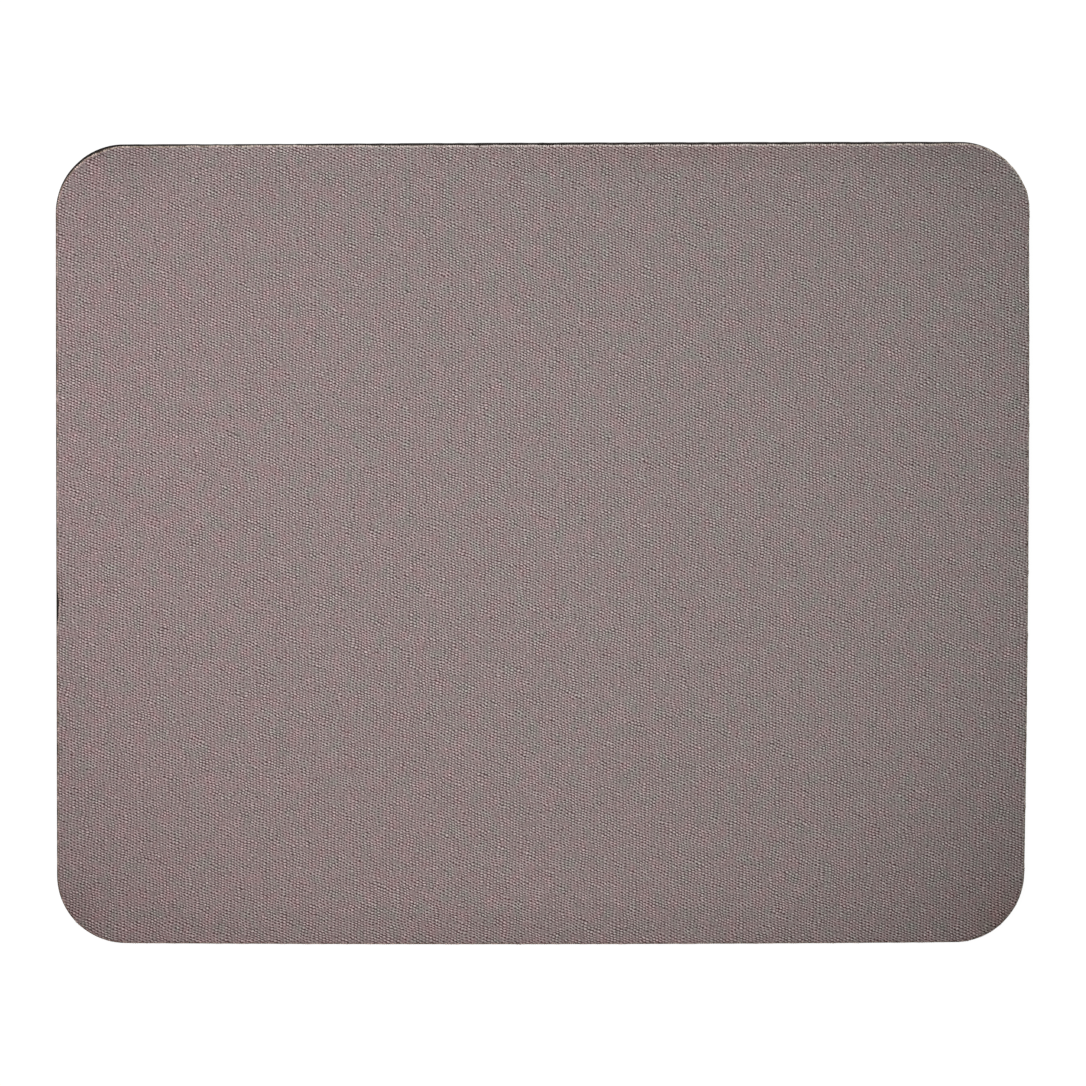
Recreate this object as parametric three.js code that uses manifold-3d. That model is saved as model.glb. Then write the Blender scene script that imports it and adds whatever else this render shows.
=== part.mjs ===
// Cloth-topped mouse pad: knitted cloth bonded to sponge rubber, the sandwich then punched out by one die.
// Millimetres. +X runs along the long side, +Y away from the user, +Z up out of the cloth.
// The origin is the middle of the underside, which lies flat on the desk.

import * as THREE from "three";
import { mergeVertices } from "three/addons/utils/BufferGeometryUtils.js";
import Module from "manifold-3d";

// Outline of the cut
const padWidth = 240;
const padDepth = 200;
const cornerRadius = 17;

// Layers, from the desk up
const spongeThickness = 2.4;
const filmThickness = 0.1;
const clothThickness = 0.5;

// Cut rim: the die drags the layers down as it closes, and the squeezed sponge springs back behind it
const rimDrop = 0.25; // how far the layers are drawn down at the cut
const rimReach = 0.9; // how far in from the cloth's edge the draw shows
const clothEdge = 0.3; // what the die leaves of the cloth's thickness at the cut
const clothSetback = 0.15; // how far the cloth and the film shrink back from the sponge's rim
const spongeWaist = 0.25; // how far the sponge's wall is hollowed at half its height

// Grip: zigzag grooves moulded across the underside before the pad is cut, so they run out through its wall
const gripPitch = 6; // from groove to groove along Y
const gripGroove = 1.6; // width of a groove along Y
const gripDepth = 0.3;
const zigzagRun = 10; // length along X of one stroke of the zigzag
const zigzagRise = 4; // how far one stroke climbs along Y

// Facets of a quarter turn of the outline, and of each curve of a rim's section
const cornerFacets = 12;
const curveFacets = 5;

// Surfaces, each at its height on the flat of the pad
const spongeTop = spongeThickness;
const filmTop = spongeTop + filmThickness;
const clothTop = filmTop + clothThickness;

const wasm = await Module();
wasm.setup();

// The cut outline moved in by an inset: four corner arcs joined by the straight sides, anticlockwise from above.
function outline(inset) {
  const path = new THREE.Path();
  [
    [1, 1],
    [-1, 1],
    [-1, -1],
    [1, -1],
  ].forEach(([alongX, alongY], quarter) => {
    path.absarc(
      alongX * (padWidth / 2 - cornerRadius),
      alongY * (padDepth / 2 - cornerRadius),
      cornerRadius - inset,
      (quarter * Math.PI) / 2,
      ((quarter + 1) * Math.PI) / 2,
    );
  });
  return path.getPoints(cornerFacets / 2); // an arc gets two facets for each division
}

// A closed sheet whose rim has the given section: x is the inset from the cut and y the height,
// from the flat of the underside out to the rim and back to the flat of the top. Each point of the
// section becomes a ring, neighbouring rings are joined by facets, and the flats close both ends.
function rimmedSheet(section) {
  const sectionPoints = section.getPoints(curveFacets);
  const rings = sectionPoints.map((point) => outline(point.x));
  const vertices = rings.flatMap((ring, i) =>
    ring.map((point) => new THREE.Vector3(point.x, point.y, sectionPoints[i].y)),
  );
  const ringSize = rings[0].length;
  const facets = [];
  for (let i = 0; i + 1 < rings.length; i++) {
    for (let j = 0; j < ringSize; j++) {
      const here = i * ringSize + j;
      const next = i * ringSize + ((j + 1) % ringSize);
      facets.push(here, next, next + ringSize);
      facets.push(here, next + ringSize, here + ringSize);
    }
  }
  const lastRing = (rings.length - 1) * ringSize;
  for (const [a, b, c] of THREE.ShapeUtils.triangulateShape(rings[0], [])) {
    facets.push(c, b, a);
  }
  for (const [a, b, c] of THREE.ShapeUtils.triangulateShape(rings.at(-1), [])) {
    facets.push(lastRing + a, lastRing + b, lastRing + c);
  }
  const sheet = new THREE.BufferGeometry().setFromPoints(vertices).setIndex(facets);
  sheet.computeVertexNormals();
  return sheet;
}

// Where a surface leaves the flat for the rim, and the corner that its drawn-down curve rounds off
const flatInset = clothSetback + rimReach;
const bendInset = clothSetback + rimReach / 2;

// Draws a surface, level at the given height, from its flat out and down to the cut.
function outToEdge(section, height) {
  section.quadraticCurveTo(bendInset, height, clothSetback, height - rimDrop);
}

// Draws the same curve back, from the cut up to the flat.
function inToFlat(section, height) {
  section.quadraticCurveTo(bendInset, height, flatInset, height);
}

// A geometry's shared vertices are merged by place, which makes it a closed solid that can be cut.
function toSolid(geometry) {
  const bare = geometry.clone();
  bare.deleteAttribute("normal");
  bare.deleteAttribute("uv");
  const merged = mergeVertices(bare);
  return new wasm.Manifold(
    new wasm.Mesh({
      numProp: 3,
      vertProperties: merged.getAttribute("position").array,
      triVerts: Uint32Array.from(merged.index.array),
    }),
  );
}

function toGeometry(solid) {
  const { vertProperties, triVerts } = solid.getMesh();
  const geometry = new THREE.BufferGeometry();
  geometry.setAttribute("position", new THREE.BufferAttribute(vertProperties, 3));
  geometry.setIndex(new THREE.BufferAttribute(triVerts, 1));
  geometry.computeVertexNormals();
  return geometry;
}

// One grip groove as a bar to cut with: a zigzag band from side to side of the pad, at its own place along Y,
// from below the underside up to the groove's floor.
function gripCutter(alongY) {
  const strokes = Math.ceil((padWidth / 2 + zigzagRun) / zigzagRun);
  const nearEdge = [];
  const farEdge = [];
  for (let stroke = -strokes; stroke <= strokes; stroke++) {
    const alongX = stroke * zigzagRun;
    const middle = alongY + (stroke % 2 === 0 ? 0 : zigzagRise);
    nearEdge.push(new THREE.Vector2(alongX, middle - gripGroove / 2));
    farEdge.push(new THREE.Vector2(alongX, middle + gripGroove / 2));
  }
  const band = new THREE.Shape([...nearEdge, ...farEdge.reverse()]);
  const bar = new THREE.ExtrudeGeometry(band, { depth: 2 * gripDepth, bevelEnabled: false });
  return bar.translate(0, 0, -gripDepth);
}

// Sponge rubber base: a wall hollowed by the cut, a top that follows the drawn-down rim, and grip grooves below.
// The middle of the pad is left on the land between two grooves.
function spongeBase() {
  const wallTop = spongeTop - rimDrop;
  const section = new THREE.Path();
  section.moveTo(0, 0);
  section.quadraticCurveTo(2 * spongeWaist, wallTop / 2, 0, wallTop);
  section.lineTo(clothSetback, wallTop);
  inToFlat(section, spongeTop);
  let base = toSolid(rimmedSheet(section));
  const pairs = Math.ceil((padDepth / 2 + zigzagRise) / gripPitch);
  for (let row = -pairs; row < pairs; row++) {
    base = base.subtract(toSolid(gripCutter((row + 1 / 2) * gripPitch)));
  }
  return toGeometry(base);
}

// Hot-melt film: the same thickness everywhere, bent with the sponge's top.
function bondingFilm() {
  const section = new THREE.Path();
  section.moveTo(flatInset, spongeTop);
  outToEdge(section, spongeTop);
  section.lineTo(clothSetback, filmTop - rimDrop);
  inToFlat(section, filmTop);
  return rimmedSheet(section);
}

// Knitted cloth: its underside lies on the film, and its upper edge is rounded over down to the pinched cut.
function knitCloth() {
  const section = new THREE.Path();
  section.moveTo(flatInset, filmTop);
  outToEdge(section, filmTop);
  section.lineTo(clothSetback, filmTop - rimDrop + clothEdge);
  section.quadraticCurveTo(clothSetback, clothTop, flatInset, clothTop);
  return rimmedSheet(section);
}

const blackSponge = new THREE.MeshStandardMaterial({ color: 0x1c1b1b, roughness: 0.9, metalness: 0 });
const milkyHotMelt = new THREE.MeshStandardMaterial({ color: 0xcfc9bd, roughness: 0.45, metalness: 0 });
const taupeKnit = new THREE.MeshStandardMaterial({ color: 0x8c7e7d, roughness: 0.95, metalness: 0 });

const mousePad = new THREE.Group();
for (const [name, geometry, material] of [
  ["sponge_base", spongeBase(), blackSponge],
  ["bonding_film", bondingFilm(), milkyHotMelt],
  ["knit_cloth", knitCloth(), taupeKnit],
]) {
  const layer = new THREE.Mesh(geometry, material);
  layer.name = name;
  mousePad.add(layer);
}

export default mousePad;
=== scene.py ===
import math

import bmesh
import bpy
import numpy as np
from mathutils import Matrix, Vector


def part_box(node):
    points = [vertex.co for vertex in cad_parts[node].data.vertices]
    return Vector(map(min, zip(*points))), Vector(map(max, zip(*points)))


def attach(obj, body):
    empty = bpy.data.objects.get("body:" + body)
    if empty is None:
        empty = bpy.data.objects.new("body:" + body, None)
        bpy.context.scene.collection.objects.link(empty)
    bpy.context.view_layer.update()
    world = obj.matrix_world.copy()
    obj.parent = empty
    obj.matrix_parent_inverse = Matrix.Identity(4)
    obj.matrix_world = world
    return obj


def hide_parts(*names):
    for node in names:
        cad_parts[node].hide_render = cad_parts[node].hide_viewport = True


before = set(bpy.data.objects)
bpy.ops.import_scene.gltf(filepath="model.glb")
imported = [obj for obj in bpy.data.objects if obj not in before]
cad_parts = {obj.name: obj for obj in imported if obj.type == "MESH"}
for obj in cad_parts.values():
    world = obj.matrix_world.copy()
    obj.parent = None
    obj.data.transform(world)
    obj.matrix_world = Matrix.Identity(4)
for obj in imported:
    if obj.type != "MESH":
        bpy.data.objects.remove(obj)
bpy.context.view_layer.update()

# Sponge base
# The body of the pad is a sheet of black sponge rubber, vulcanised on a plate that moulds zigzag grip grooves
# into its underside. One steel-rule die punches the bonded sandwich out, so the wall is bare cut sponge,
# hollowed where the squeezed rubber sprang back, and the top is drawn down along the rim.

mm = 0.001

# The cut: its size comes from the sponge part in model.glb. The sheet crept under the die, so each side bows
# out a little.
# The far and near sides slant, standing in at their left ends and out at their right ends, and the right
# side stands out at its far end and in at its near end.
half_width, half_depth, sponge_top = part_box("sponge_base")[1]
corner_radius = 17 * mm
bow_far = 0.26 * mm
bow_near = 0.55 * mm
bow_left = 0.05 * mm
bow_right = 0.67 * mm
slant_far = 0.28 * mm
slant_near = 0.15 * mm
slant_right = 0.12 * mm

# The rim's section, the same for all layers
rim_drop = 0.25 * mm  # how far the layers are drawn down at the cut
rim_reach = 0.9 * mm  # how far in from the cloth's edge the draw shows
cloth_setback = 0.15 * mm  # how far the cloth and the film shrink back from the sponge's rim
flat_inset = cloth_setback + rim_reach
sponge_waist = 0.25 * mm  # how far the wall is hollowed at half its height
rim_steps = 6

# Grip grooves: zigzags along X, spaced along Y
grip_pitch = 6 * mm
grip_groove = 1.6 * mm  # width of a groove's mouth
grip_depth = 0.3 * mm
grip_draft = 0.2 * mm  # how much each flank leans, so that the sheet strips from its plate
zigzag_run = 10 * mm
zigzag_rise = 4 * mm
land_steps = 6  # rows of points across the land between two grooves

sponge_spacing = 1.2 * mm  # between columns of points
wall_steps = 9
tear_depth = 0.03 * mm  # roughness of the cut, where the blade tears through cells
tear_length = 1.7 * mm
tear_lean = 9  # how far a torn line turns through its wave from the foot to the top, in radians


def side_turn(x, inset):
    """Sideways part of the outward normal where a column at x meets the outline moved in by inset: zero along
    the straight side, then the way into the corner over the corner's radius, up to plus or minus one."""
    into_corner = np.abs(x) - (half_width - corner_radius)
    return np.sign(x) * np.clip(into_corner / (corner_radius - inset), 0, 1)


def pad_columns(spacing, inset):
    """Places along X for the outline moved in by inset: even steps along the straight side, then the sine of
    even turns round each corner."""
    straight = half_width - corner_radius
    middle = np.linspace(-straight, straight, round(2 * straight / spacing) + 1)
    turns = np.linspace(0, np.pi / 2, round(np.pi / 2 * corner_radius / spacing) + 1)[1:]
    corner = straight + (corner_radius - inset) * np.sin(turns)
    return np.concatenate([-corner[::-1], middle, corner])


def pad_grid(columns, rows, inset):
    """Grid over the outline moved in by inset: each column holds its line of rows, cut off where the outline
    ends it, at the corner's middle plus the corner's radius times the cosine of the turn."""
    turn = side_turn(columns, inset)[:, None]
    reach = half_depth - corner_radius + (corner_radius - inset) * np.sqrt(1 - turn**2)
    y = np.clip(rows, -reach, reach)
    return np.stack([np.broadcast_to(columns[:, None], y.shape), y], axis=-1)


def grid_faces(shape):
    """Quads between neighbours of a grid numbered column by column, facing up."""
    number = np.arange(shape[0] * shape[1]).reshape(shape)
    corners = [number[:-1, :-1], number[1:, :-1], number[1:, 1:], number[:-1, 1:]]
    return np.stack(corners, axis=-1).reshape(-1, 4)


def grid_border(shape):
    """Numbers of the points round the border of such a grid, anticlockwise from above."""
    number = np.arange(shape[0] * shape[1]).reshape(shape)
    return np.concatenate([number[:, 0], number[-1, 1:], number[-2::-1, -1], number[0, -2:0:-1]])


def die_line(border, inset):
    """Where the die cut beside the border points of a grid moved in by inset, and the outward normal there.
    A side's bow is a parabola from corner to corner and its slant a straight line, and both are shared out by
    the square of the normal's parts."""
    turn = side_turn(border[:, 0], inset)
    normal = np.stack([turn, np.sign(border[:, 1]) * np.sqrt(1 - turn**2)], axis=1)
    line = border + inset * normal
    across, away = np.maximum(normal, 0).T ** 2
    back_across, towards = np.maximum(-normal, 0).T ** 2
    along_x, along_y = (line / (half_width, half_depth)).T
    creep = (bow_far * away + bow_near * towards) * (1 - along_x**2)
    creep += (bow_right * across + bow_left * back_across) * (1 - along_y**2)
    creep += (slant_far * away + slant_near * towards) * along_x + slant_right * across * along_y
    return line + creep[:, None] * normal, normal


def way_round(line):
    """Distance along a closed line to each of its points, and the length of the whole line."""
    steps = np.linalg.norm(np.roll(line, -1, axis=0) - line, axis=1)
    return np.cumsum(steps) - steps, steps.sum()


def bend(start, corner, end, steps):
    """Quadratic curve of (inset, height) points: (1 - t)^2 start + 2 t (1 - t) corner + t^2 end."""
    t = np.linspace(0, 1, steps + 1)[:, None]
    return (1 - t) ** 2 * np.array(start) + 2 * t * (1 - t) * np.array(corner) + t**2 * np.array(end)


def carry_section(line, normal, inset, height):
    """Rings of points that carry a rim's section round a line: each ring is the line moved in along its
    normal by the ring's inset and lifted to its height. Both are (rings, points) arrays, or one value for a
    ring."""
    flat = line - inset[..., None] * normal
    lifted = np.broadcast_to(height[..., None], flat.shape[:-1] + (1,))
    return np.concatenate([flat, lifted], axis=-1)


def band_faces(rings):
    """Quads between neighbouring rings of point numbers, facing out when the rings climb, or turn in on
    top."""
    low, high = rings[:-1], rings[1:]
    corners = [low, np.roll(low, -1, axis=1), np.roll(high, -1, axis=1), high]
    return np.stack(corners, axis=-1).reshape(-1, 4)


def make_piece(name, points, faces, material):
    """Mesh object at the origin. Points that the outline pressed onto one place are merged, and edges sharper
    than the crease angle stay crisp."""
    merge_distance = 1e-6
    crease = math.radians(38)
    mesh = bpy.data.meshes.new(name)
    mesh.from_pydata(points.tolist(), [], faces)
    shape = bmesh.new()
    shape.from_mesh(mesh)
    bmesh.ops.remove_doubles(shape, verts=shape.verts, dist=merge_distance)
    shape.to_mesh(mesh)
    shape.free()
    mesh.polygons.foreach_set("use_smooth", np.ones(len(mesh.polygons), dtype=bool))
    mesh.set_sharp_from_angle(angle=crease)
    mesh.materials.append(material)
    piece = bpy.data.objects.new(name, mesh)
    bpy.context.scene.collection.objects.link(piece)
    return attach(piece, "root")


def linear(colour):
    """Linear RGBA from an sRGB hex: c / 12.92 where c is small, else ((c + 0.055) / 1.055)^2.4."""
    parts = [int(colour[i : i + 2], 16) / 255 for i in (1, 3, 5)]
    return [c / 12.92 if c <= 0.04045 else ((c + 0.055) / 1.055) ** 2.4 for c in parts] + [1]


def put(tree, kind, inputs, **settings):
    """Adds a node with its settings. An input is named, or numbered where names repeat, and gets a constant,
    a socket, or another node's first output."""
    node = tree.nodes.new("ShaderNode" + kind)
    for name, value in settings.items():
        setattr(node, name, value)
    for key, value in inputs.items():
        named = [socket for socket in node.inputs if socket.enabled and socket.name == key]
        socket = named[0] if named else node.inputs[key]
        if isinstance(value, bpy.types.Node):
            value = next(output for output in value.outputs if output.enabled)
        if isinstance(value, bpy.types.NodeSocket):
            tree.links.new(value, socket)
        else:
            socket.default_value = value
    return node


def blank_material(name):
    """Material with an empty node tree."""
    material = bpy.data.materials.new(name)
    material.use_nodes = True
    material.node_tree.nodes.clear()
    return material, material.node_tree


# Sponge rubber, vulcanised and cut: black and matt, with open cells that catch a little grey along their lips
# on the cut wall, and a closed, finely grained skin where the plate moulded it.
sponge_black = "#151211"
sponge_grey = "#443e3a"
cell_size = 0.45 * mm
skin_grain = 0.25 * mm
skin_height = 0.35 * mm  # the skin reaches up to the floor of the grooves
dust_size = 9 * mm  # patches in which the lips are worn

black_sponge, tree = blank_material("black_sponge_rubber")
place = put(tree, "TexCoord", {}).outputs["Object"]
cells = put(tree, "TexVoronoi", {"Vector": place, "Scale": 1 / cell_size}, feature="F1")
cell_wall = put(tree, "MapRange", {"Value": cells, "From Min": 0.25, "From Max": 0.6})
height = put(tree, "SeparateXYZ", {"Vector": place}).outputs["Z"]
on_cut = put(tree, "MapRange", {"Value": height, "From Min": skin_height, "From Max": 1.5 * skin_height})
grain = put(tree, "TexNoise", {"Vector": place, "Scale": 1 / skin_grain, "Detail": 3.0})
relief = put(tree, "Mix", {"Factor": on_cut, "A": grain, "B": cell_wall}, data_type="FLOAT")
dust = put(tree, "TexNoise", {"Vector": place, "Scale": 1 / dust_size, "Detail": 4.0})
worn = put(tree, "Math", {0: relief, 1: dust}, operation="MULTIPLY")
colour = put(
    tree, "Mix", {"Factor": worn, "A": linear(sponge_black), "B": linear(sponge_grey)}, data_type="RGBA"
)
roughness = put(tree, "MapRange", {"Value": dust, "To Min": 0.78, "To Max": 0.95})
bump = put(tree, "Bump", {"Height": relief, "Strength": 0.5, "Distance": 0.1 * mm})
rubber = put(
    tree,
    "BsdfPrincipled",
    {"Base Color": colour, "Roughness": roughness, "Normal": bump, "IOR": 1.52, "Specular IOR Level": 0.1},
)
put(tree, "OutputMaterial", {"Surface": rubber})

# Underside: rows stand at the mouths and floors of the grooves and climb with the zigzag
columns = pad_columns(sponge_spacing, 0)
climb = zigzag_rise * np.abs((columns / zigzag_run + 1) % 2 - 1)
groove_floor = grip_groove / 2 - grip_draft
land = np.linspace(grip_groove / 2, grip_pitch - grip_groove / 2, land_steps)
one_groove = np.concatenate([[-groove_floor, groove_floor], land])
grooves = math.ceil((half_depth + zigzag_rise) / grip_pitch)
groove_middles = (np.arange(-grooves, grooves) + 0.5) * grip_pitch
rows = (groove_middles[:, None] + one_groove).ravel() + climb[:, None]
sponge_grid = pad_grid(columns, rows, 0)

# Depth of each point: full within the floor, none outside the mouth, a straight flank between them
from_middle = np.abs((sponge_grid[..., 1] - climb[:, None]) / grip_pitch % 1 - 0.5) * grip_pitch
depth = grip_depth * np.clip((grip_groove / 2 - from_middle) / grip_draft, 0, 1)
border = grid_border(depth.shape)
line, normal = die_line(sponge_grid.reshape(-1, 2)[border], 0)
underside = np.concatenate([sponge_grid, depth[..., None]], axis=-1).reshape(-1, 3)
underside[border, :2] = line

# Wall: a parabola in from the foot and back out, torn by the blade; then the ledge and the drawn-down top
around, length_round = way_round(line)
up_wall = np.linspace(0, 1, wall_steps + 1)[1:, None]
foot = depth.ravel()[border]
wall_top = sponge_top - rim_drop
tear_turns = round(length_round / tear_length) * around / length_round
tear = tear_depth * np.sin(2 * np.pi * tear_turns + tear_lean * up_wall)
wall_inset = 4 * up_wall * (1 - up_wall) * (sponge_waist + tear)
wall_height = foot + (wall_top - foot) * up_wall
draw = bend(
    (cloth_setback, wall_top),
    (cloth_setback + rim_reach / 2, sponge_top),
    (flat_inset, sponge_top),
    rim_steps,
)
wall = carry_section(line, normal, wall_inset, wall_height)
top_rim = carry_section(line, normal, draw[:, :1], draw[:, 1:])
points = np.concatenate([underside, wall.reshape(-1, 3), top_rim.reshape(-1, 3)])
above = len(underside) + np.arange(len(points) - len(underside)).reshape(-1, len(border))
rings = np.concatenate([border[None], above])
faces = grid_faces(depth.shape)[:, ::-1].tolist() + band_faces(rings).tolist() + [rings[-1].tolist()]

sponge_base = make_piece("sponge_base_cut", points, faces, black_sponge)
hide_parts("sponge_base")

# Bonding film
# A film of hot-melt glue joins the cloth to the sponge all over. It was melted between the two sheets, so it
# follows the drawn-down rim, and all that shows of it is a pale hairline in the cut.

film_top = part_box("bonding_film")[1].z
film_spacing = 2 * mm

# The cloth crept unevenly as it was cut, and the film went with it: at each of these places along the cut,
# (x, y) from the middle of the pad, it stands further in by a depth that fades over a half length, or further
# out where the depth is negative
nick = (-half_width, -15.3 * mm)
crept_places = [
    (20 * mm, half_depth, 0.17 * mm, 75 * mm),  # the far side's middle, where the black rim shows most
    (-80 * mm, half_depth, -0.12 * mm, 30 * mm),  # its left end
    (-115 * mm, 95 * mm, 0.04 * mm, 8 * mm),  # the far left corner
    (117 * mm, 93 * mm, -0.3 * mm, 14 * mm),  # the far right corner, where the cloth covers the rim
    (half_width, 0, -0.08 * mm, 85 * mm),  # the right side
    (-half_width, 0, 0.1 * mm, 82 * mm),  # the left side
    (*nick, 0.38 * mm, 3.9 * mm),  # and the nick in it
]
waver_depth = 0.035 * mm  # and its edge wavers along the whole cut
waver_lengths = [19 * mm, 8.5 * mm, 5.3 * mm, 3.1 * mm]


def cloth_shrink(line):
    """How far the cloth stands in from the die's line: the setback, plus each crept place's depth times a
    flat-topped bell curve, exp(-r^4), of the distance r to it in half lengths, plus a sine for each waver."""
    around, length_round = way_round(line)
    shrink = np.full(len(line), cloth_setback)
    for x, y, depth, half_length in crept_places:
        away = np.linalg.norm(line - (x, y), axis=1)
        shrink += depth * np.exp(-((away / half_length) ** 4))
    for start, length in enumerate(waver_lengths):
        turns = round(length_round / length) * around / length_round
        shrink += waver_depth * np.sin(2 * np.pi * turns + start)
    return shrink


# Hot-melt copolymer film: milky and faintly yellow, with a soft gloss where it was cut.
film_milky = "#cfc9bd"
film_yellowed = "#bdb193"
cloud_size = 2.5 * mm

hot_melt, tree = blank_material("milky_hot_melt")
place = put(tree, "TexCoord", {}).outputs["Object"]
cloud = put(tree, "TexNoise", {"Vector": place, "Scale": 1 / cloud_size, "Detail": 2.0})
colour = put(
    tree, "Mix", {"Factor": cloud, "A": linear(film_milky), "B": linear(film_yellowed)}, data_type="RGBA"
)
gloss = put(tree, "MapRange", {"Value": cloud, "To Min": 0.38, "To Max": 0.55})
glue = put(tree, "BsdfPrincipled", {"Base Color": colour, "Roughness": gloss, "IOR": 1.48})
put(tree, "OutputMaterial", {"Surface": glue})

columns = pad_columns(film_spacing, 0)
rows = np.linspace(-half_depth, half_depth, round(2 * half_depth / film_spacing) + 1)
film_grid = pad_grid(columns, np.broadcast_to(rows, (len(columns), len(rows))), 0)
border = grid_border(film_grid.shape[:2])
line, normal = die_line(film_grid.reshape(-1, 2)[border], 0)
lower = bend((rim_reach, sponge_top), (rim_reach / 2, sponge_top), (0, wall_top), rim_steps)
upper = lower[::-1] + [0, film_top - sponge_top]
section = np.concatenate([lower, upper])
points = carry_section(line, normal, section[:, :1] + cloth_shrink(line), section[:, 1:]).reshape(-1, 3)
rings = np.arange(len(points)).reshape(-1, len(border))
faces = band_faces(rings).tolist() + [rings[0, ::-1].tolist(), rings[-1].tolist()]

bonding_film = make_piece("bonding_film_sheet", points, faces, hot_melt)
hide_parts("bonding_film")

# Knitted cloth
# The face is an interlock-knit polyester, dyed taupe, with fine wales along Y and loops that lean to one
# side. It was bonded flat, so it lies without a fold, and the die rounded its edge over and pinched it at the
# cut.

cloth_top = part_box("knit_cloth")[1].z
cloth_edge = 0.3 * mm  # what the die leaves of the cloth's thickness at the cut
cloth_spacing = 1 * mm
swell = 0.02 * mm  # how far the sponge below lets the face rise and fall
swell_length = 31 * mm
swell_fade = 6 * mm  # the face is pressed flat this close to the rim

# Polyester yarn, knitted and dyed: loops show as pale dots on a ground painted dark, a painted shade between
# the loops, strung along ribs. The strongest ribs lean down to the right, and the wales and the other
# diagonal cross them. The yarn's tone drifts between pink and grey green, and the face is dull.
wale = 0.804 * mm  # from rib to rib across the cloth
course = 0.705 * mm  # from loop to loop along a wale; neighbouring wales are half a course apart
middle_tone = 0.32  # how far towards the loops' colour the yarn is where no rib swings it
lean_strength = 0.255  # how far each set of ribs swings it
cross_strength = 0.12
wale_strength = 0.14
wale_shift = math.radians(74)  # how far the wales' ribs stand to the left of where the diagonals cross
wale_wander = 0.9  # how much the wales wander by themselves, as a share of how they are pulled sideways
pulls = [(0.9 * mm, 0.34 * mm), (4 * mm, 0.78 * mm)]  # size of patches that are pulled askew, and how far
uneven_size = 1.1 * mm
fibre_size = 0.35 * mm
blot_width = 3.5 * mm
blot_length = 4.1 * mm
ground_painted_shades = ["#442f2f", "#4b2e2f", "#3b312e"]  # painted shade between the loops: taupe, where the dye is pinker, and where it is greener
loop_shades = ["#d6cecb", "#ddcdcc", "#d1d1ca"]
painted_shade_places = [  # ellipses of painted shade along the edges and corners: middle, reach, and the tint it leaves
    ((32 * mm, half_depth), (72 * mm, 8.5 * mm), "#f8eded"),  # the far edge
    ((-102 * mm, half_depth), (15 * mm, 11 * mm), "#eeeeee"),  # and its ends
    ((100 * mm, half_depth), (30 * mm, 10 * mm), "#efefef"),
    ((-10 * mm, -half_depth), (130 * mm, 12 * mm), "#f3f3f3"),  # the near edge
    ((-117 * mm, -94 * mm), (10 * mm, 10 * mm), "#efeae9"),  # and its corners
    ((117 * mm, -97 * mm), (13 * mm, 13 * mm), "#f5e6e1"),
]


def inside_ellipse(tree, place, middle, reach, core):
    """How far a place lies inside an ellipse: one up to the core's share of the way out, then falling evenly
    to zero at the reach. The way out is the length of the distance from the middle over the reach."""
    scale = (1 / reach[0], 1 / reach[1], 0)
    start = (-middle[0] / reach[0], -middle[1] / reach[1], 0)
    way_out = put(tree, "Mapping", {"Vector": place, "Location": start, "Scale": scale})
    way_out = put(tree, "VectorMath", {0: way_out}, operation="LENGTH")
    return put(tree, "MapRange", {"Value": way_out, "From Min": 1.0, "From Max": core})


knit, tree = blank_material("taupe_interlock_knit")
place = put(tree, "TexCoord", {}).outputs["Object"]

# The fabric is pulled askew, a little from loop to loop and more from patch to patch
askew = place
for size, reach in pulls:
    pull = put(tree, "TexNoise", {"Vector": place, "Scale": 1 / size, "Detail": 0.0}).outputs["Color"]
    pull = put(tree, "VectorMath", {0: pull, 1: (0.5, 0.5, 0.5)}, operation="SUBTRACT")
    askew = put(tree, "VectorMath", {0: pull, 1: (reach, reach, reach), 2: askew}, operation="MULTIPLY_ADD")

# Ribs: a cosine of the way across each set, at the spacing that wales and courses give it. The pull's height,
# which moves nothing else, makes the wales wander about where they stand at the height of the face.
lean_way = (math.pi / wale, 2 * math.pi / course, 0)
cross_way = (-math.pi / wale, 2 * math.pi / course, 0)
wale_way = (2 * math.pi / wale, 0, 2 * math.pi / wale * wale_wander)
rib_sets = [
    (lean_way, 0.0, lean_strength),
    (cross_way, 0.0, cross_strength),
    (wale_way, wale_shift - cloth_top * wale_way[2], wale_strength),
]
ribs = 0.0
for way, shift, strength in rib_sets:
    rib = put(tree, "VectorMath", {0: askew, 1: way}, operation="DOT_PRODUCT")
    rib = put(tree, "Math", {0: rib, 1: shift}, operation="ADD")
    rib = put(tree, "Math", {0: rib}, operation="COSINE")
    ribs = put(tree, "Math", {0: rib, 1: strength, 2: ribs}, operation="MULTIPLY_ADD")

# Some loops stand out more than others, and loose fibres roughen them
uneven = put(tree, "TexNoise", {"Vector": place, "Scale": 1 / uneven_size, "Detail": 0.0})
uneven = put(tree, "MapRange", {"Value": uneven, "To Min": -0.35, "To Max": 2.35})
fibres = put(tree, "TexNoise", {"Vector": place, "Scale": 1 / fibre_size, "Detail": 0.0})
fibres = put(tree, "MapRange", {"Value": fibres, "To Min": -0.12, "To Max": 0.12})
loops = put(tree, "Math", {0: ribs, 1: uneven, 2: fibres}, operation="MULTIPLY_ADD")
shown = put(tree, "Math", {0: loops, 1: middle_tone}, operation="ADD", use_clamp=True)

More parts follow.
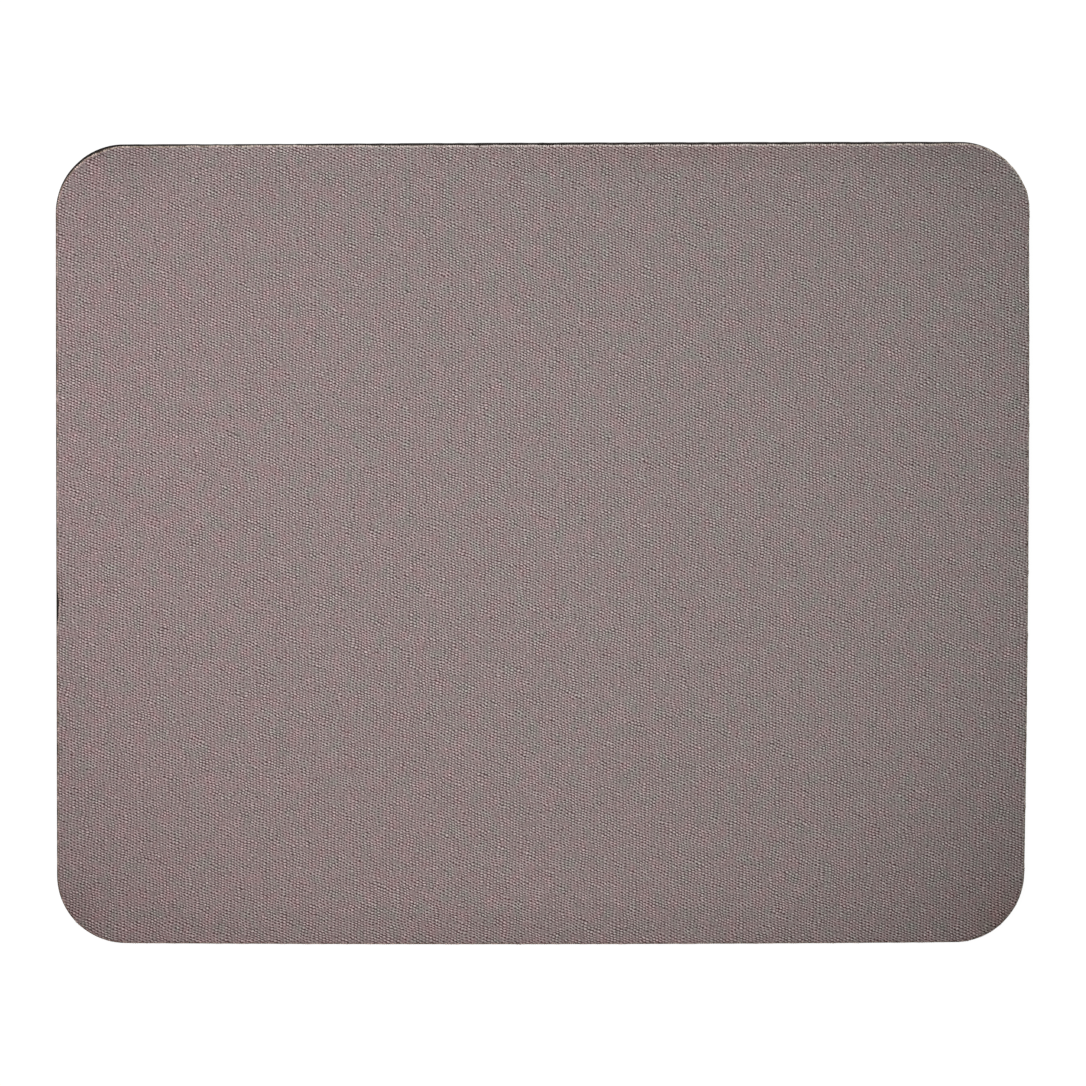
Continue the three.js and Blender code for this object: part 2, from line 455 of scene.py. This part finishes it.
# The dye took unevenly, in blots a little longer along the wales
blots = put(tree, "Mapping", {"Vector": place, "Scale": (1 / blot_width, 1 / blot_length, 1 / blot_width)})
tone = put(tree, "TexNoise", {"Vector": blots, "Scale": 1.0, "Detail": 3.0})
pinkness = put(tree, "MapRange", {"Value": tone, "From Min": 0.52, "From Max": 0.7})
greenness = put(tree, "MapRange", {"Value": tone, "From Min": 0.48, "From Max": 0.3})
shades = []
for taupe, pinker, greener in (ground_painted_shades, loop_shades):
    shade = put(tree, "Mix", {"Factor": pinkness, "A": linear(taupe), "B": linear(pinker)}, data_type="RGBA")
    shade = put(tree, "Mix", {"Factor": greenness, "A": shade, "B": linear(greener)}, data_type="RGBA")
    shades.append(shade)
painted_shade_ground, loop = shades
# The loops' colour over the painted shade of the ground, by how far each loop shows
colour = put(tree, "Mix", {"Factor": shown, "A": painted_shade_ground, "B": loop}, data_type="RGBA")

# Painted shade: the colour is darkened along the edges and at the corners, where the light falls off
for middle, reach, tint in painted_shade_places:
    painted_shade = inside_ellipse(tree, place, middle, reach, 0.0)
    colour = put(
        tree,
        "Mix",
        {"Factor": painted_shade, "A": colour, "B": linear(tint)},
        data_type="RGBA",
        blend_type="MULTIPLY",
    )
roughness = put(tree, "MapRange", {"Value": shown, "To Min": 0.95, "To Max": 0.75})
bump = put(tree, "Bump", {"Height": loops, "Strength": 0.25, "Distance": 0.15 * mm})
polyester = put(
    tree,
    "BsdfPrincipled",
    {
        "Base Color": colour,
        "Roughness": roughness,
        "Normal": bump,
        "IOR": 1.55,
        "Specular IOR Level": 0.2,
        "Sheen Weight": 0.08,
        "Sheen Roughness": 0.5,
    },
)
put(tree, "OutputMaterial", {"Surface": polyester})

columns = pad_columns(cloth_spacing, flat_inset)
flat_reach = half_depth - flat_inset
rows = np.linspace(-flat_reach, flat_reach, round(2 * flat_reach / cloth_spacing) + 1)
cloth_grid = pad_grid(columns, np.broadcast_to(rows, (len(columns), len(rows))), flat_inset)

# Face: level, but for a slow swell of crossed waves that fades towards the rim
x, y = cloth_grid[..., 0], cloth_grid[..., 1]
from_rim = np.minimum(half_width - flat_inset - np.abs(x), flat_reach - np.abs(y))
fade = np.clip(from_rim / swell_fade, 0, 1) ** 2
turn = 2 * np.pi / swell_length
waves = np.sin(turn * (x + 0.4 * y)) * np.sin(turn * (0.8 * y - 0.3 * x))
waves += 0.5 * np.sin(turn * (1.7 * x - 1.3 * y))
face_height = cloth_top + swell * fade * waves
border = grid_border(face_height.shape)
line, normal = die_line(cloth_grid.reshape(-1, 2)[border], flat_inset)
shrink = cloth_shrink(line)

# Rim: under the drawn-down cloth out to the cut, up what the die left of it, and over to the face
cut_low = film_top - rim_drop
cut_high = cut_low + cloth_edge
lower = bend((rim_reach, film_top), (rim_reach / 2, film_top), (0, cut_low), rim_steps)
upper = bend((0, cut_high), (0, cloth_top), (rim_reach, cloth_top), 2 * rim_steps)
section = np.concatenate([lower, upper])
rim = carry_section(line, normal, section[:, :1] + shrink, section[:, 1:])
face = np.concatenate([cloth_grid, face_height[..., None]], axis=-1).reshape(-1, 3)
face[border] = rim[-1]
points = np.concatenate([face, rim[:-1].reshape(-1, 3)])
rings = len(face) + np.arange(rim[:-1, :, 0].size).reshape(-1, len(border))
rings = np.concatenate([rings, border[None]])
faces = grid_faces(face_height.shape).tolist() + band_faces(rings).tolist() + [rings[0, ::-1].tolist()]

knit_cloth = make_piece("knit_cloth_face", points, faces, knit)
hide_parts("knit_cloth")

# Cut yarn ends
# Where the die went through the knit, each loop ends in a cut stub of yarn that lies over the rounded rim.
# The cut shows the yarn's undyed core, so most ends are paler than the face. Along the far side and at the
# nick they are painted whiter still, a painted highlight, and along the left side darker, a painted shade.

yarn_gap = 0.44 * mm  # between ends along the cut
yarn_radius = 0.14 * mm
yarn_sides = 5
longest_end = 0.06 * mm  # how far an end may stand out past the cut
ends_seed = 5

# Cut polyester yarn: matt and uneven, pale where the core shows and tan where the dye went through it. The
# ends are painted darker along the left side, from its corners on, as painted shade, and whitest in the
# highlight places, as painted highlight.
end_highlight_white = "#e8dfd9"
end_pale = "#d4c8ba"
end_dyed = "#867869"
highlight_places = [  # ellipses of painted highlight, in which the ends are whitest: where each has its middle, and how far it reaches
    ((20 * mm, half_depth), (110 * mm, 3 * mm)),
    (nick, (2 * mm, 5 * mm)),
]
highlight_core = 0.3  # how much of the way out such an ellipse is all white
highlight_dye_cut = 0.6  # how much of the dye is taken out there, for the painted highlight
left_painted_shade = 0.1  # painted shade: how much darker the ends are made on the left side, on the scale of the dye's noise
dye_size = 1.1 * mm
filament_size = 0.2 * mm

cut_yarn, tree = blank_material("cut_polyester_yarn")
place = put(tree, "TexCoord", {}).outputs["Object"]
filaments = put(tree, "TexNoise", {"Vector": place, "Scale": 1 / filament_size, "Detail": 2.0})
# Painted highlight: in the highlight places the ends are whitened and their dye is taken out
highlit = 0.0
for middle, reach in highlight_places:
    inside = inside_ellipse(tree, place, middle, reach, highlight_core)
    highlit = put(tree, "Math", {0: inside, 1: highlit}, operation="ADD", use_clamp=True)
core = put(tree, "Mix", {"Factor": highlit, "A": linear(end_pale), "B": linear(end_highlight_white)}, data_type="RGBA")
# Painted shade: the ends are darkened along the left side, from its corners on
across = put(tree, "SeparateXYZ", {"Vector": place}).outputs["X"]
left_shade_side = put(
    tree, "MapRange", {"Value": across, "From Min": corner_radius - half_width, "From Max": -half_width}
)
dye_and_painted_light = put(tree, "TexNoise", {"Vector": place, "Scale": 1 / dye_size, "Detail": 1.0})
dye_and_painted_light = put(tree, "Math", {0: left_shade_side, 1: left_painted_shade, 2: dye_and_painted_light}, operation="MULTIPLY_ADD")
dye_and_painted_light = put(tree, "MapRange", {"Value": dye_and_painted_light, "From Min": 0.4, "From Max": 0.6})
dye_under_highlight = put(tree, "Math", {0: highlit, 1: -highlight_dye_cut, 2: 1.0}, operation="MULTIPLY_ADD")
dye_and_painted_light = put(tree, "Math", {0: dye_and_painted_light, 1: dye_under_highlight}, operation="MULTIPLY")
colour = put(tree, "Mix", {"Factor": dye_and_painted_light, "A": core, "B": linear(end_dyed)}, data_type="RGBA")
bump = put(tree, "Bump", {"Height": filaments, "Strength": 0.4, "Distance": 0.05 * mm})
ends_finish = put(
    tree,
    "BsdfPrincipled",
    {"Base Color": colour, "Roughness": 0.9, "Normal": bump, "IOR": 1.55, "Specular IOR Level": 0.2},
)
put(tree, "OutputMaterial", {"Surface": ends_finish})


def yarn_tubes(spines, sides_way, radii):
    """Tubes round spines, an (ends, steps, 3) array: each ring is the spine's point plus the radius times the
    cosine of an even turn along the sideways direction and its sine along the direction square to both."""
    ends, steps = spines.shape[:2]
    onward = np.gradient(spines, axis=1)
    onward /= np.linalg.norm(onward, axis=-1, keepdims=True)
    up_way = np.cross(onward, sides_way[:, None])
    turn = np.arange(yarn_sides) * 2 * np.pi / yarn_sides
    ring = np.cos(turn)[:, None] * sides_way[:, None, None] + np.sin(turn)[:, None] * up_way[:, :, None]
    points = spines[:, :, None] + radii[None, :, None, None] * ring
    number = np.arange(ends * steps * yarn_sides).reshape(ends, steps, yarn_sides)
    near, far = number[:, :-1], number[:, 1:]
    corners = [near, np.roll(near, -1, axis=2), np.roll(far, -1, axis=2), far]
    walls = np.stack(corners, axis=-1).reshape(-1, 4).tolist()
    caps = number[:, 0, ::-1].tolist() + number[:, -1].tolist()
    return points.reshape(-1, 3), walls + caps


random = np.random.default_rng(ends_seed)
edge = line - shrink[:, None] * normal
around, length_round = way_round(edge)
count = round(length_round / yarn_gap)
at = (np.arange(count) + random.uniform(0.25, 0.75, count)) * length_round / count
edge_at = np.stack([np.interp(at, around, edge[:, i], period=length_round) for i in (0, 1)], axis=1)
normal_at = np.stack([np.interp(at, around, normal[:, i], period=length_round) for i in (0, 1)], axis=1)
side_at = np.stack([-normal_at[:, 1], normal_at[:, 0], np.zeros(count)], axis=1)

# Each end's spine has six points: two past the cut, on its way up, three over the rounded rim, and one back
# in under the face. It thins towards both ends, and each end has its own length and skew.
over_rim = bend((0, cut_high), (0, cloth_top), (rim_reach, cloth_top), rim_steps)[1:4]
spine_inset = np.array([-longest_end, -0.3 * longest_end, *over_rim[:, 0], 0.6 * rim_reach])
spine_height = np.array([cut_low + 0.4 * cloth_edge, cut_low + 0.8 * cloth_edge, *over_rim[:, 1], film_top])
spine_radius = yarn_radius * np.array([0.55, 0.85, 1.0, 1.0, 0.9, 0.5])
longer = random.uniform(0.1, 1.0, (count, 1))
skew = random.normal(0.0, 0.3, (count, 1))
inset = np.where(spine_inset < 0, spine_inset * longer, spine_inset)
spines = np.zeros((count, len(spine_inset), 3))
spines[..., :2] = edge_at[:, None] - inset[..., None] * normal_at[:, None]
spines[..., 2] = spine_height
spines += (skew * spine_inset)[..., None] * side_at[:, None]
points, faces = yarn_tubes(spines, side_at, spine_radius)

yarn_ends = make_piece("cut_yarn_ends", points, faces, cut_yarn)

# Floor
# A white matt table top, far wider than the view. The camera and reflections see it nearly white whatever the
# light, with the rest left to the light on it, so that the pad keeps a faint shadow.

floor_half = 3.0
floor_drop = 0.05 * mm
floor_white = "#f2f2f2"
floor_glow = 0.88  # share of the floor's look that doesn't depend on the light
glow_strength = 1.12


def seen_directly(tree):
    """One for a ray from the camera, from a reflection or through something clear, as the sum of the three
    cases, and zero for a ray that only lights something."""
    rays = put(tree, "LightPath", {}).outputs
    seen = put(tree, "Math", {0: rays["Is Camera Ray"], 1: rays["Is Glossy Ray"]}, operation="ADD")
    return put(tree, "Math", {0: seen, 1: rays["Is Transmission Ray"]}, operation="ADD", use_clamp=True)


# Matt white table: it glows by the share above where it is seen, and otherwise only takes and sends on light.
white_table, tree = blank_material("white_table")
glow_share = put(tree, "Math", {0: seen_directly(tree), 1: floor_glow}, operation="MULTIPLY")
matt = put(tree, "BsdfDiffuse", {"Color": linear(floor_white)})
glow = put(tree, "Emission", {"Color": linear("#ffffff"), "Strength": glow_strength})
mixed = put(tree, "MixShader", {0: glow_share, 1: matt, 2: glow})
put(tree, "OutputMaterial", {"Surface": mixed})

floor_mesh = bpy.data.meshes.new("floor")
floor_corners = [(-1, -1), (1, -1), (1, 1), (-1, 1)]
floor_corners = [(x * floor_half, y * floor_half, -floor_drop) for x, y in floor_corners]
floor_mesh.from_pydata(floor_corners, [], [(0, 1, 2, 3)])
floor_mesh.materials.append(white_table)
floor = bpy.data.objects.new("floor", floor_mesh)
bpy.context.scene.collection.objects.link(floor)

# Light
# Soft lamps over the table: a shaded one above, whose pool of light fades towards the pad's corners, one far
# beyond the far edge, and two weak pink ones low on the left and near sides. A dim even room is round them,
# and the shares add up to about full light on the cloth.

room_share = 0.08
shade_place = Vector((-0.0086, 0.0187, 0.3))
shade_share = 0.562
pool_radius = 0.2065  # where the light from under the shade ends
pool_fade = 0.59  # how much of the way out it fades
bulb_radius = 0.03


def hang_lamp(name, place, size, share, colour):
    """Square lamp that faces the middle of the pad. A lamp of power P at distance d lights a matt sheet,
    turned from it by an angle a, to P cos(a) / (pi d)^2 of its own colour, so P = share (pi d)^2 / cos(a)."""
    lamp = bpy.data.lights.new(name, "AREA")
    lamp.size = size
    lamp.color = linear(colour)[:3]
    place = Vector(place)
    slant = place.z / place.length
    lamp.energy = share * (math.pi * place.length) ** 2 / slant
    holder = bpy.data.objects.new(name, lamp)
    holder.location = place
    holder.rotation_euler = place.to_track_quat("Z", "Y").to_euler()
    holder.visible_camera = False
    bpy.context.scene.collection.objects.link(holder)


hang_lamp("far_lamp", place=(-0.5, 2.0, 0.95), size=0.60, share=0.28, colour="#ffffff")
hang_lamp("left_lamp", place=(-0.24, 0.07, 0.16), size=0.10, share=0.098, colour="#ffcbdc")
hang_lamp("near_lamp", place=(-0.06, -0.22, 0.12), size=0.10, share=0.039, colour="#ffadb9")

# The shaded lamp shines straight down. A point lamp of power P at height h lights the sheet below it to
# P / (2 pi h)^2 of its own colour.
shaded = bpy.data.lights.new("shaded_lamp", "SPOT")
shaded.energy = shade_share * (2 * math.pi * shade_place.z) ** 2
shaded.spot_size = 2 * math.atan(pool_radius / shade_place.z)
shaded.spot_blend = pool_fade
shaded.shadow_soft_size = bulb_radius
holder = bpy.data.objects.new("shaded_lamp", shaded)
holder.location = shade_place
bpy.context.scene.collection.objects.link(holder)

# The room lights the pad dimly, and is white where it is seen
world = bpy.data.worlds.new("room")
world.use_nodes = True
tree = world.node_tree
tree.nodes.clear()
dim = put(tree, "Background", {"Color": linear("#ffffff"), "Strength": room_share})
white = put(tree, "Background", {"Color": linear("#ffffff"), "Strength": 1.0})
mixed = put(tree, "MixShader", {0: seen_directly(tree), 1: dim, 2: white})
put(tree, "OutputWorld", {"Surface": mixed})
bpy.context.scene.world = world

# Camera
# It looks almost straight down, from about 9 degrees over on the far side, so that a line of the far wall
# shows, and from so far off that the pad's sides stay parallel.

view_distance = 5.0
view_width = 268.94 * mm  # width of the picture at the pad
tilt_right = math.radians(-1.34)
tilt_away = math.radians(9.39)
roll = math.radians(0.112)
pan_right = 0.45 * mm
pan_up = 0.075 * mm

back = Vector((math.sin(tilt_right), math.sin(tilt_away), 0))
back.z = math.sqrt(1 - back.length_squared)
right = Vector((0, 1, 0)).cross(back).normalized()
up = back.cross(right)
turned_right = math.cos(roll) * right + math.sin(roll) * up
turned_up = math.cos(roll) * up - math.sin(roll) * right
lens = bpy.data.cameras.new("camera")
lens.lens = lens.sensor_width * view_distance / view_width
lens.clip_end = 2 * view_distance
camera = bpy.data.objects.new("camera", lens)
camera.matrix_world = Matrix((turned_right, turned_up, back)).transposed().to_4x4()
camera.location = view_distance * back + pan_right * turned_right + pan_up * turned_up
bpy.context.scene.collection.objects.link(camera)
bpy.context.scene.camera = camera
bpy.context.scene.view_settings.view_transform = "Standard"
